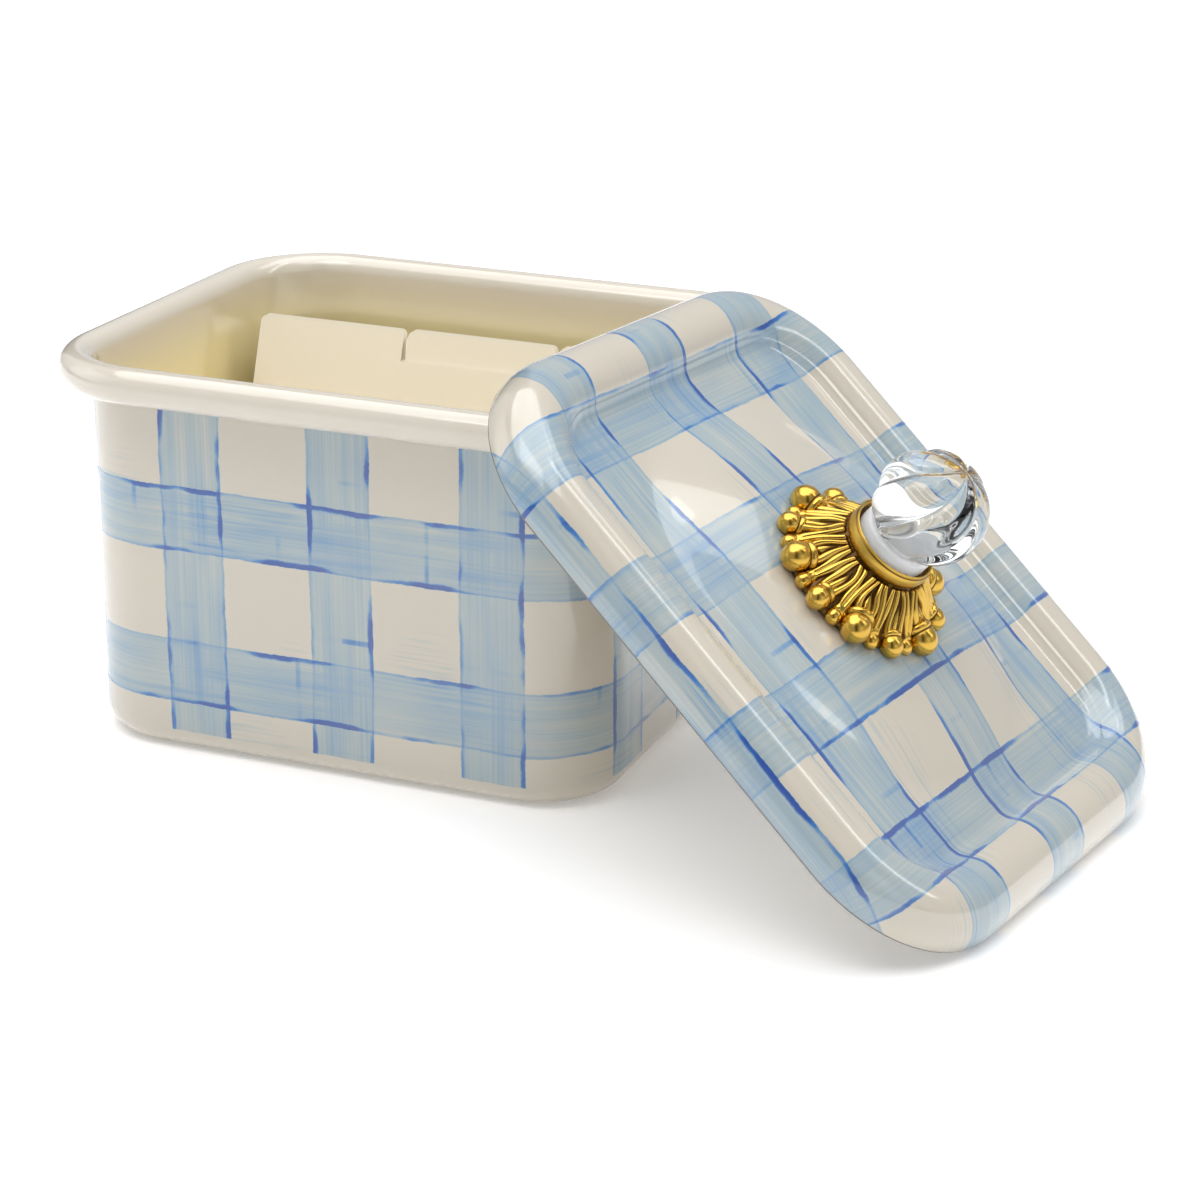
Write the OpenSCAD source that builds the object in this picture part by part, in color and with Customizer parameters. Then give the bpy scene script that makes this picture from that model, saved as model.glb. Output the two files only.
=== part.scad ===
// Enamelled steel recipe card box. A pressed tub with a rolled rim holds tab dividers and a
// pack of recipe cards. The lid has a rolled border round a sunken panel and a glass knob on a
// cast rosette. It leans on the right end of the rim, as it does when it has been taken off.
// Origin at the centre of the underside, +X towards the leaning lid, +Z up, millimetres.

/* [Tub] */
// Length over the walls
tub_l = 168.2; // [150:0.1:200]
// Width over the walls
tub_w = 139.4; // [125:0.1:170]
// Height over the rolled rim
tub_h = 118.4; // [112:0.1:150]
// Corner radius of the walls
tub_corner_r = 26; // [20:0.5:34]
// Radius between floor and walls
base_r = 8; // [4:0.5:14]
// Thickness of the enamelled sheet
sheet_t = 1.2; // [0.8:0.1:1.8]
// Diameter of the rolled rim
rim_d = 10.9; // [8:0.1:13]
// Angle left open where the curl comes back to the wall
rim_open = 55; // [40:1:90]

/* [Lid] */
// Gap all round between the rolled rim and the skirt of the lid
lid_gap = 2.5; // [1.5:0.1:6]
// Corner radius of the lid beyond one that follows the rim
lid_corner_ease = 1.8; // [0:0.1:4]
// Outside radius of the rolled border
border_r = 11.3; // [9:0.1:13]
// Straight skirt below the rolled border
skirt_h = 2; // [1:0.1:6]
// Depth of the centre panel below the crest of the border
panel_dip = 6.3; // [5.4:0.1:7]
// Steepest slope between border and panel
step_angle = 50; // [44:1:56]
// Radius of the panel's crown, a low vault over its middle
crown_r = 170; // [150:5:240]
// Radius of the hollow where the crown fades into the panel
crown_hollow_r = 30; // [10:1:36]
// Sine of the steepest slope of the crown
crown_slope = 0.28; // [0.2:0.01:0.28]

/* [Lid leaning on the rim] */
// Distance from the upper edge of the lid to the place where it rests on the rim
lean_inset = 26; // [25.5:0.5:60]
// Turn of the lid about the vertical
lean_yaw = -10.4; // [-20:0.1:0]
// Place of the middle of the lid's foot across the tub
lean_side = -56.3; // [-70:0.1:-30]
// Clearance where pieces of different bodies rest on each other
rest_gap = 0.3; // [0.2:0.05:0.5]

/* [Rosette] */
// Radius of the ring on which the beads sit
bead_ring_r = 24.8; // [22:0.1:28]
// Radius of the large beads
large_bead_r = 4.3; // [3:0.1:4.5]
// Radius of the medium beads
medium_bead_r = 3.4; // [2.4:0.1:3.6]
// Radius of the small beads between the others
small_bead_r = 2.3; // [1.4:0.1:2.4]
// Number of large beads
large_beads = 6; // [5:1:7]
// Height of the seat for the collar
rosette_h = 14; // [11:0.1:18]
// Wall of the cast rosette
cast_t = 1.8; // [1.4:0.1:2.4]

/* [Collar] */
// Radius of the collar
collar_r = 13.5; // [12:0.1:15]
// Height of the collar
collar_h = 4.4; // [3.6:0.1:6]
// Depth of the seat for the glass
glass_seat = 2; // [0.8:0.1:2.4]
// Radius of the rounded side of the collar
collar_roll_r = 1.6; // [1:0.1:1.7]
// Wall of the lip round the glass
collar_lip_t = 0.5; // [0.4:0.05:0.8]

/* [Glass knob] */
// Greatest radius of the glass
glass_r = 16.3; // [14:0.1:18]
// Height of the glass from its seat
glass_h = 32; // [24:0.1:34]
// Number of lobes round the glass
glass_lobes = 6; // [5:1:10]
// Depth of the grooves between the lobes
groove_depth = 2.6; // [1:0.1:3.4]
// Turn of the grooves from foot to top
glass_twist = 60; // [0:1:90]
// Gap round the glass in its seat
glass_fit = 1.2; // [0.2:0.1:1.6]

/* [Screw] */
// Radius of the screw's shank
screw_r = 2; // [1.5:0.1:2.4]
// Clearance between the shank and the holes it passes
screw_fit = 0.2; // [0.1:0.05:0.4]
// Length of the shank
screw_l = 16.5; // [15:0.5:17]
// Radius of the screw's head
head_r = 4; // [3.4:0.1:5]
// Height of the screw's head
head_h = 2.4; // [1.8:0.1:3]
// Radius of the washer
washer_r = 6; // [5:0.1:8]
// Thickness of the washer
washer_t = 0.8; // [0.5:0.1:1.2]
// Length of each slot of the cross in the screw's head
slot_l = 4.4; // [3:0.1:5]
// Width of the slots
slot_w = 1; // [0.6:0.1:1.2]
// Depth of the slots
slot_d = 1.3; // [0.8:0.1:1.5]

/* [Cards] */
// Length of a card
card_l = 152.4; // [140:0.1:153]
// Height of a card without its tab
card_h = 101.6; // [90:0.1:104]
// Height of a divider's tab
tab_h = 9.5; // [7:0.1:12]
// Amount by which a tab is narrower than a third of the card
tab_gap = 0.8; // [0:0.1:3]
// Corner radius of cards and tabs
card_corner_r = 2.2; // [1:0.1:4]
// Thickness of a divider
divider_t = 0.45; // [0.3:0.05:0.6]
// Thickness of a recipe card
card_t = 0.4; // [0.3:0.05:0.5]
// Air between two recipe cards
card_air = 0.14; // [0.1:0.02:0.2]
// Number of recipe cards
card_count = 36; // [12:1:38]
// Angle at which the cards lean back
card_lean = 19.5; // [14:0.5:22]
// Place of the cards' centre along the tub
card_x = 2.5; // [-3:0.1:4]
// Clearance between the cards and the tub
card_clearance = 0.4; // [0.3:0.05:1]

/* [Hidden] */
$fn = 96;

// The rolled rim
rim_r = rim_d / 2;
rim_out = rim_r - sheet_t;
rim_z = tub_h - rim_r;
rim_half_l = tub_l / 2 + rim_out;
rim_half_w = tub_w / 2 + rim_out;
rim_corner_r = tub_corner_r + rim_out;

// The lid in its own frame: cut edge on z = 0, centre panel round the origin
lid_over = rim_r + lid_gap + sheet_t;
lid_l = 2 * (rim_half_l + lid_over);
lid_w = 2 * (rim_half_w + lid_over);
lid_corner_r = rim_corner_r + lid_over + lid_corner_ease;
fillet_r = panel_dip / (1 - cos(step_angle)) - border_r;
panel_inset = border_r + (border_r + fillet_r) * sin(step_angle);
panel_z = skirt_h + border_r - panel_dip;

// The crown: a low vault along the middle of the panel with a hollow round its foot
crown_spine = (lid_l - lid_w) / 2;
crown_half_w = (crown_r + crown_hollow_r) * crown_slope;
crown_h = (crown_r + crown_hollow_r) * (1 - sqrt(1 - pow(crown_slope, 2)));
crown_angle = asin(crown_slope);

// The lid's lean: the rim's tube touches the underside of the panel at lean_inset from its
// upper edge, and the farthest point of the rim towards the lid sets where its foot stands
contact_h = panel_z - sheet_t - rest_gap - rim_r;
contact_d = lid_l - lean_inset;
lean_tilt = asin(rim_z / norm([contact_d, contact_h])) - atan2(contact_h, contact_d);
rim_reach = (rim_half_l - rim_corner_r) * cos(lean_yaw)
    + (rim_half_w - rim_corner_r) * abs(sin(lean_yaw)) + rim_corner_r;
foot_reach = (rim_z * cos(lean_tilt) - contact_h) / sin(lean_tilt) + rim_reach;
lean_x = (foot_reach - lean_side * sin(lean_yaw)) / cos(lean_yaw);

// The rosette, whose foot is cut to the crown, and the washer that its screw draws up under it
rosette_z = crown_h - crown_r + sqrt(pow(crown_r, 2) - pow(bead_ring_r, 2));
washer_z = crown_h - sheet_t - crown_r + sqrt(pow(crown_r, 2) - pow(washer_r, 2)) - washer_t;
collar_z = rosette_z + rosette_h;
bead_count = 2 * large_beads;
bead_pitch = 360 / bead_count;
bead_z = 3.2;
small_bead_z = 2;
small_bead_in = 1;
dome_foot_r = bead_ring_r - 1.6;
dome_foot_z = 3;
dome_skirt_z = 2;
dome_skirt_t = 3;
bore_r = screw_r + screw_fit;
dome_fall = rosette_h - dome_foot_z;
dome_run = dome_foot_r - collar_r;
leaf_slope = atan2(dome_fall, dome_run);
leaf_l = norm([dome_fall, dome_run]);
leaf_tip_r = 1.7;
leaf_root_r = 0.8;
leaf_reach = 0.9;
side_leaf_tip_r = 1.25;
side_leaf_reach = 0.8;

// The collar's lip stands back from its rounded side
collar_lip_r = collar_r - 0.6;
glass_seat_r = collar_lip_r - collar_lip_t;

// The glass: a round foot, a neck and a bulb with swirled lobes
glass_foot_r = glass_seat_r - glass_fit;
glass_foot_h = 3.6;
glass_foot_round = 0.8;
glass_neck_r = glass_foot_r - 1;
glass_neck_z = glass_foot_h + 1.4;
glass_mid_z = 0.52 * glass_h;
glass_top_h = glass_h - glass_mid_z;
neck_lift = -acos(glass_neck_r / glass_r);
top_lift = 86;
groove_start = 20;
glass_neck_drop = (glass_mid_z - glass_neck_z) / -sin(neck_lift);
glass_rings = 16;
glass_steps = 10 * glass_lobes;

// The cards
divider_count = 6;
divider_pitch = (divider_t + rest_gap) / cos(card_lean);
card_pitch = (card_t + card_air) / cos(card_lean);
pack_gap = rest_gap / cos(card_lean);
pack_depth = (card_count - 1) * card_pitch + card_t / cos(card_lean);
card_z = sheet_t + card_clearance;
tab_l = card_l / 3 - tab_gap;
// The last card's upper corner leans into the tub's rounded corner
inner_corner_r = tub_corner_r - sheet_t;
corner_dx = card_l / 2 + abs(card_x) - (tub_l / 2 - tub_corner_r);
corner_y = tub_w / 2 - tub_corner_r
    + sqrt(pow(inner_corner_r, 2) - pow(min(max(corner_dx, 0), inner_corner_r), 2));
pack_back_y = corner_y - card_clearance - card_h * sin(card_lean);
pack_y = pack_back_y - pack_depth;
first_divider_y = pack_y - pack_gap - divider_count * divider_pitch;

// A flat sector of a ring between two angles less than 180 apart
module ring_sector(outer, inner, from, to) {
    reach = 2 * outer;
    mid = (from + to) / 2;
    intersection() {
        difference() {
            circle(outer);
            circle(inner);
        }
        polygon([[0, 0], reach * [cos(from), sin(from)], 2 * reach * [cos(mid), sin(mid)],
            reach * [cos(to), sin(to)]]);
    }
}

// A flat rounded rectangle about the origin
module round_rect(l, w, r) {
    square([l - 2 * r, w], center = true);
    square([l, w - 2 * r], center = true);
    for (x = [-1, 1], y = [-1, 1]) translate([x * (l / 2 - r), y * (w / 2 - r)]) circle(r);
}

// Carries a flat profile round a rounded rectangle: its x points outwards and its y up
module carry_round(l, w, r) {
    for (side = [0:3]) {
        across = side % 2 == 0 ? l : w;
        along = side % 2 == 0 ? w : l;
        rotate(90 * side) {
            translate([across / 2, along / 2 - r, 0]) rotate([90, 0, 0])
                linear_extrude(along - 2 * r) children();
            translate([across / 2 - r, along / 2 - r, 0]) rotate_extrude(angle = 90)
                translate([r, 0]) children();
        }
    }
}

// Wall section of the tub: floor fillet, wall, and the rim curled outwards
module tub_profile() {
    translate([-sheet_t, base_r]) square([sheet_t, rim_z - base_r]);
    translate([-base_r, base_r]) ring_sector(base_r, base_r - sheet_t, -90, 0);
    translate([rim_out, rim_z]) {
        ring_sector(rim_r, rim_out, 90, 180);
        ring_sector(rim_r, rim_out, 0, 90);
        ring_sector(rim_r, rim_out, rim_open - 180, 0);
    }
}

module box_shell() color("ivory") {
    carry_round(tub_l, tub_w, tub_corner_r) tub_profile();
    linear_extrude(sheet_t)
        round_rect(tub_l - 2 * base_r, tub_w - 2 * base_r, tub_corner_r - base_r);
}

// Border section of the lid: skirt, rolled border and the hollow fillet down to the panel
module lid_profile() {
    translate([-sheet_t, 0]) square([sheet_t, skirt_h]);
    translate([-border_r, skirt_h]) {
        ring_sector(border_r, border_r - sheet_t, 0, 90);
        ring_sector(border_r, border_r - sheet_t, 90, 90 + step_angle);
        translate((border_r + fillet_r) * [-sin(step_angle), cos(step_angle)])
            ring_sector(fillet_r + sheet_t, fillet_r, 270, 270 + step_angle);
    }
}

// Carries a flat profile round the crown's spine: its x points outwards and its y up
module along_spine() for (side = [-1, 1]) rotate(90 - 90 * side) {
    translate([crown_spine, 0, 0]) rotate(-90) rotate_extrude(angle = 180) children();
    for (half = [0, 1]) mirror([0, half, 0]) rotate([90, 0, 90])
        linear_extrude(crown_spine) children();
}

// Section of the crown from its spine: the vault, and the hollow that ends in the flat panel
module crown_profile() {
    translate([0, crown_h - crown_r])
        ring_sector(crown_r, crown_r - sheet_t, 90 - crown_angle, 90, $fn = 720);
    translate([crown_half_w, crown_hollow_r])
        ring_sector(crown_hollow_r + sheet_t, crown_hollow_r, 270 - crown_angle, 270, $fn = 360);
}

// The crown's foot on the flat panel
module crown_foot() {
    square([2 * crown_spine, 2 * crown_half_w], center = true);
    for (x = [-1, 1]) translate([x * crown_spine, 0]) circle(crown_half_w, $fn = 180);
}

module lid() {
    carry_round(lid_l, lid_w, lid_corner_r) lid_profile();
    translate([0, 0, panel_z]) difference() {
        union() {
            translate([0, 0, -sheet_t]) linear_extrude(sheet_t) difference() {
                round_rect(lid_l - 2 * panel_inset, lid_w - 2 * panel_inset,
                    lid_corner_r - panel_inset);
                crown_foot();
            }
            along_spine() crown_profile();
        }
        cylinder(h = 4 * crown_h, r = bore_r, center = true);
    }
}

// Puts a piece drawn in the lid's own frame where the lid leans
module leaning() {
    translate([lean_x, lean_side, 0]) rotate([0, 0, lean_yaw]) rotate([0, lean_tilt, 0])
        translate([-lid_l / 2, 0, 0]) children();
}

// Puts a piece of the knob, drawn upwards from the panel, on the leaning lid
module on_panel(height) leaning() translate([0, 0, panel_z + height]) children();

module lid_shell() color("lightsteelblue") leaning() lid();

// The hollow cast dome under the leaves
module rosette_dome() rotate_extrude() polygon([
    [bore_r, rosette_h - cast_t], [bore_r, rosette_h], [collar_r, rosette_h],
    [dome_foot_r, dome_foot_z], [bead_ring_r, dome_skirt_z], [bead_ring_r, 0],
    [bead_ring_r - dome_skirt_t, 0], [dome_foot_r - cast_t, dome_foot_z - 1],
    [collar_r - cast_t, rosette_h - cast_t]]);

// A leaf that lies on the dome, from the collar down to the beads
module leaf(tip_r, reach) translate([collar_r, 0, rosette_h - leaf_root_r])
    rotate([0, 90 + leaf_slope, 0]) {
        cylinder(h = leaf_l * reach, r1 = leaf_root_r, r2 = tip_r);
        translate([0, 0, leaf_l * reach]) sphere(tip_r);
    }

// A bead on the ring, cut flat where it meets the panel
module bead(r, ring_r, z) difference() {
    translate([ring_r, 0, z]) sphere(r);
    translate([ring_r - r, -r, -2 * r]) cube(2 * r);
}

// The whole rosette, with its foot cut to the crown on which it stands
module rosette() color("goldenrod") on_panel(rosette_z) difference() {
    union() {
        rosette_dome();
        for (i = [0:bead_count - 1]) rotate(i * bead_pitch) {
            bead(i % 2 == 0 ? large_bead_r : medium_bead_r, bead_ring_r, bead_z);
            rotate(bead_pitch / 2) bead(small_bead_r, bead_ring_r - small_bead_in, small_bead_z);
            leaf(leaf_tip_r, leaf_reach);
            for (side = [-1, 1]) rotate(side * bead_pitch / 3)
                leaf(side_leaf_tip_r, side_leaf_reach);
        }
    }
    translate([0, 0, -rosette_z]) along_spine() intersection() {
        translate([0, crown_h - crown_r]) circle(crown_r, $fn = 720);
        square([2 * bead_ring_r, crown_h]);
    }
}

// A turned ring with a rounded side, a lip above it and a seat for the glass inside the lip
module knob_collar() color("darkgoldenrod") on_panel(collar_z) rotate_extrude() difference() {
    union() {
        translate([bore_r, 0]) square([collar_lip_r - bore_r, collar_h]);
        translate([collar_r - collar_roll_r, collar_roll_r]) circle(collar_roll_r);
    }
    translate([0, collar_h - glass_seat]) square([glass_seat_r, collar_h]);
}

// One ring of the glass, as a height, a radius and how deep the grooves run there
function glass_ring(lift) = [
    glass_mid_z + sin(lift) * (lift < 0 ? glass_neck_drop : glass_top_h),
    glass_r * cos(lift),
    groove_depth * min(1, (lift - neck_lift) / groove_start) * sqrt(cos(lift))];

module glass_knob() color("azure") on_panel(collar_z + collar_h - glass_seat) {
    bulb = [for (k = [0:glass_rings])
        glass_ring(neck_lift + (top_lift - neck_lift) * k / glass_rings)];
    rings = concat([[0, glass_foot_r, 0], [glass_foot_h, glass_foot_r, 0],
        [glass_foot_h + glass_foot_round / 2, glass_foot_r - glass_foot_round, 0]], bulb);
    points = [for (ring = rings, j = [0:glass_steps - 1])
        let (a = 360 * j / glass_steps, swirl = glass_twist * ring[0] / glass_h,
            r = ring[1] - ring[2] * pow(1 - abs(sin(glass_lobes * (a - swirl) / 2)), 2))
        [r * cos(a), r * sin(a), ring[0]]];
    foot = len(points);
    last = foot - glass_steps;
    polyhedron(
        points = concat(points, [[0, 0, 0], [0, 0, glass_h]]),
        faces = concat(
            [for (k = [0:len(rings) - 2], j = [0:glass_steps - 1])
                let (n = (j + 1) % glass_steps, b = k * glass_steps, c = b + glass_steps)
                each [[b + j, c + j, c + n], [b + j, c + n, b + n]]],
            [for (j = [0:glass_steps - 1]) [foot, j, (j + 1) % glass_steps]],
            [for (j = [0:glass_steps - 1]) [foot + 1, last + (j + 1) % glass_steps, last + j]]));
}

module knob_washer() color("silver") on_panel(washer_z) difference() {
    cylinder(h = washer_t, r = washer_r);
    translate([0, 0, -washer_t]) cylinder(h = 3 * washer_t, r = bore_r);
}

module knob_screw() color("silver") on_panel(washer_z) {
    cylinder(h = screw_l, r = screw_r);
    difference() {
        translate([0, 0, -head_h]) cylinder(h = head_h, r = head_r);
        for (turn = [0, 90]) rotate(turn) translate([0, 0, -head_h])
            cube([slot_l, slot_w, 2 * slot_d], center = true);
    }
}

// Stands a flat card outline on the floor of the tub at a place y and leans it back
module stand(y, thickness) translate([card_x, y, card_z]) rotate([-card_lean, 0, 0])
    rotate([90, 0, 0]) translate([0, 0, -thickness]) linear_extrude(thickness) children();

module card_outline() translate([0, card_h / 2]) round_rect(card_l, card_h, card_corner_r);

// A third-cut tab: place 0 left, 1 centre, 2 right
module divider_outline(place) {
    card_outline();
    translate([(place - 1) * (card_l - tab_l) / 2, card_h]) {
        square([tab_l - 2 * card_corner_r, 2 * tab_h], center = true);
        translate([-tab_l / 2, -card_corner_r]) square([tab_l, tab_h]);
        for (side = [-1, 1])
            translate([side * (tab_l / 2 - card_corner_r), tab_h - card_corner_r])
                circle(card_corner_r);
    }
}

module divider(i) color("wheat") stand(first_divider_y + i * divider_pitch, divider_t)
    divider_outline(i % 3);

module recipe_cards() color("cornsilk") for (i = [0:card_count - 1])
    stand(pack_y + i * card_pitch, card_t) card_outline();

box_shell();
lid_shell();
rosette();
knob_collar();
glass_knob();
knob_screw();
knob_washer();
divider(0);  // divider_left_front
divider(1);  // divider_centre_front
divider(2);  // divider_right_front
divider(3);  // divider_left_back
divider(4);  // divider_centre_back
divider(5);  // divider_right_back
recipe_cards();
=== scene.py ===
# %% [markdown]
# # A recipe card box in brushed enamel
# The box is pressed steel under glossy enamel. Its lid leans on the rim, with a clear glass knob on
# a cast brass rosette, and cards stand in the box behind tab dividers. The frame already holds every
# piece at its real size and place, so this script never moves one. It gives each a finish, and
# where the frame's piece is plain it puts a finer mesh in the same place.

import bpy
import numpy as np
from mathutils import Matrix, Vector


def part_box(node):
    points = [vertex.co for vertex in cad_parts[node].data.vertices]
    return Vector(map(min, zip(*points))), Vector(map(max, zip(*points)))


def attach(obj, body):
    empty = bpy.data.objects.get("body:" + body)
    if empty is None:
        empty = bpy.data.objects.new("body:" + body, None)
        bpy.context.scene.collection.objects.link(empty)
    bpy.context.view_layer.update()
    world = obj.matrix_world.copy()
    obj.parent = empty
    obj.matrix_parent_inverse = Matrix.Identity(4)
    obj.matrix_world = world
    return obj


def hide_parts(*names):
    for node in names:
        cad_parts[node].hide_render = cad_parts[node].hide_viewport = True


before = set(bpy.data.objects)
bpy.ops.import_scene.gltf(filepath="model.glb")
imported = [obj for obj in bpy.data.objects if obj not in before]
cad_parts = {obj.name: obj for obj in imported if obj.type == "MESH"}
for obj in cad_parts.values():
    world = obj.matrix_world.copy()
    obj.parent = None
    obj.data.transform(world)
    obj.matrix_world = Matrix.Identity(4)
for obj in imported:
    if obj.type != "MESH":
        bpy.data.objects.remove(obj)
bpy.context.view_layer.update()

MM = 0.001

# %% [markdown]
# ## Camera
# The view is the photograph's: a long lens, about a metre away, turned 22 degrees to the right of
# the front and 20 degrees above the table. A turn and a rise give the direction back to the camera
# and the level one beside it, a cross product gives the third, and a small roll turns the last two.
# The picture was cut off centre, and that is what the small shift does.

# %% Camera
TURN, RISE, ROLL = np.radians([22.13, 20.03, 0.39])
AIM = np.array([62.03, 0, 40.7]) * MM
DISTANCE = 924.64 * MM
SENSOR = 36
LENS = 92.31
CLIP = (0.01, 20)
SHIFT = (-0.01137, -0.00035)


def unit(vector):
    """The vector over its length."""
    return np.asarray(vector, float) / np.linalg.norm(vector)


def add_camera():
    """The back axis is (sin turn cos rise, -cos turn cos rise, sin rise); right is level."""
    back = np.array([np.sin(TURN) * np.cos(RISE), -np.cos(TURN) * np.cos(RISE), np.sin(RISE)])
    level = np.array([np.cos(TURN), np.sin(TURN), 0])
    upward = np.cross(back, level)
    right = level * np.cos(ROLL) + upward * np.sin(ROLL)
    up = upward * np.cos(ROLL) - level * np.sin(ROLL)
    data = bpy.data.cameras.new("camera")
    data.sensor_width, data.lens = SENSOR, LENS
    data.shift_x, data.shift_y = SHIFT
    data.clip_start, data.clip_end = CLIP
    camera = bpy.data.objects.new("camera", data)
    camera.matrix_world = Matrix(np.vstack([
        np.column_stack([right, up, back, AIM + DISTANCE * back]), [0, 0, 0, 1]]).tolist())
    bpy.context.scene.collection.objects.link(camera)
    bpy.context.scene.camera = camera
    return camera


camera = add_camera()
print("camera at", [round(x / MM) for x in camera.matrix_world.translation], "mm")

# %% [markdown]
# ## Sums in a shader
# A finish is a sum over places on the surface, such as "glaze is thick near the edge of a stroke".
# Nodes can say that, but a page of links is hard to read. So a small class wraps a socket and
# gives it the signs + - *, and each sign adds its Math node. Colours go through a Mix node,
# because a Math node would turn them grey.

# %% A socket that does sums
class Term:
    """One output of a node, in a sum. An operator on it adds a Math node to its finish."""

    def __init__(self, finish, socket):
        self.finish, self.socket = finish, socket

    def maths(self, operation, *others):
        """The Math node of that name, on this term and the others."""
        return self.finish.node("ShaderNodeMath", {"operation": operation},
                                dict(enumerate((self, *others))))

    def __add__(self, other):
        return self.maths("ADD", other)

    def __sub__(self, other):
        return self.maths("SUBTRACT", other)

    def __mul__(self, other):
        return self.maths("MULTIPLY", other)

    def __rsub__(self, other):
        return self.maths("MULTIPLY_ADD", -1.0, other)

    __radd__, __rmul__ = __add__, __mul__

    def rise(self, low, high):
        """0 below low, 1 above high, and a smooth step between them."""
        return self.finish.node("ShaderNodeMapRange", {"interpolation_type": "SMOOTHSTEP"},
                                {"Value": self, "From Min": low, "From Max": high})


# %% A finish
class Sums:
    """A node tree with one shader, and the sums that feed it."""

    def __init__(self, tree, shader):
        self.tree, self.shader = tree, tree.nodes[shader]

    def node(self, kind, settings=None, sockets=None, out=0):
        """Adds a node: its type, then its settings, then the value or link of each socket."""
        made = self.tree.nodes.new(kind)
        for name, value in (settings or {}).items():
            if name == "stops":
                ramp = made.color_ramp
                for _ in value[2:]:
                    ramp.elements.new(0.5)
                for element, (place, colour) in zip(ramp.elements, value):
                    element.position, element.color = place, (*colour, 1)
            else:
                setattr(made, name, value)
        for name, value in (sockets or {}).items():
            if isinstance(value, Term):
                self.tree.links.new(value.socket, made.inputs[name])
            else:
                made.inputs[name].default_value = value
        return Term(self, made.outputs[out])

    def feed(self, socket, term):
        """Links a term to a socket of the shader."""
        self.tree.links.new(term.socket, self.shader.inputs[socket])

    def parts(self, vector):
        """The three numbers of a vector."""
        return [self.node("ShaderNodeSeparateXYZ", sockets={0: vector}, out=k) for k in range(3)]

    def place(self):
        """Where a point of the surface is, in the frame, in metres."""
        return self.node("ShaderNodeTexCoord", out="Object")

    def flat_place(self):
        """Where a point is on the piece's own flattened surface, in metres."""
        return self.parts(self.node("ShaderNodeUVMap", {"uv_map": "UVMap"}))[:2]

    def attribute(self, name):
        """A number that the mesh holds for each of its points."""
        return self.node("ShaderNodeAttribute", {"attribute_name": name}, out="Fac")

    def noise(self, x, y, z=0.0, detail=2.0, roughness=0.5):
        """Soft noise from 0 to 1 at a place that is made of three numbers."""
        vector = self.node("ShaderNodeCombineXYZ", sockets={0: x, 1: y, 2: z})
        return self.noise_at(vector, 1.0, detail, roughness)

    def noise_at(self, vector, scale, detail=2.0, roughness=0.5):
        """Soft noise from 0 to 1, with that many features in a metre."""
        return self.node("ShaderNodeTexNoise", None, {
            "Vector": vector, "Scale": scale, "Detail": detail, "Roughness": roughness})

    def ramp(self, factor, stops):
        """A colour for each value of the factor."""
        return self.node("ShaderNodeValToRGB", {"stops": stops}, {"Fac": factor})

    def mix(self, first, second, factor):
        """The first colour at factor 0 and the second at factor 1."""
        first, second = (c if isinstance(c, Term) else (*c, 1) for c in (first, second))
        return self.node("ShaderNodeMix", {"data_type": "RGBA"},
                         {0: factor, 6: first, 7: second}, out=2)

    def relief(self, height, depth):
        """Tilts the light on the surface by a height of 0 to 1, over that depth in metres."""
        self.feed("Normal", self.node("ShaderNodeBump", None, {"Distance": depth, "Height": height}))


class Finish(Sums):
    """A material with one Principled shader. Constants are set on the shader's own sockets."""

    def __init__(self, name, **constants):
        self.material = bpy.data.materials.new(name)
        self.material.use_nodes = True
        super().__init__(self.material.node_tree, "Principled BSDF")
        for socket, value in constants.items():
            self.shader.inputs[socket.replace("_", " ")].default_value = value


print("shader sums are ready")

# %% [markdown]
# ## Meshes from loops
# Almost everything here is a closed loop carried through space: a section of sheet steel carried
# round the box, a turned profile carried round the knob. So one function joins a stack of loops
# into quads. It also turns the faces outwards, by the sign of the volume that they enclose.

# %% Loops to a mesh
def link(mesh, body, slot, *stands_for):
    """Puts a mesh in the scene on its body, in place of the frame's plain nodes."""
    piece = bpy.data.objects.new(mesh.name, mesh)
    bpy.context.scene.collection.objects.link(piece)
    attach(piece, body)
    if stands_for:
        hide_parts(*stands_for)
    print(piece.name, len(mesh.polygons), "faces")


def enclosed(points, faces):
    """Six times the signed volume: the sum of a . (b x c) over a fan of each face's corners."""
    a = points[faces[:, 0]]
    return sum(np.einsum("ij,ij->", a, np.cross(points[faces[:, k]], points[faces[:, k + 1]]))
               for k in range(1, faces.shape[1] - 1))


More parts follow.
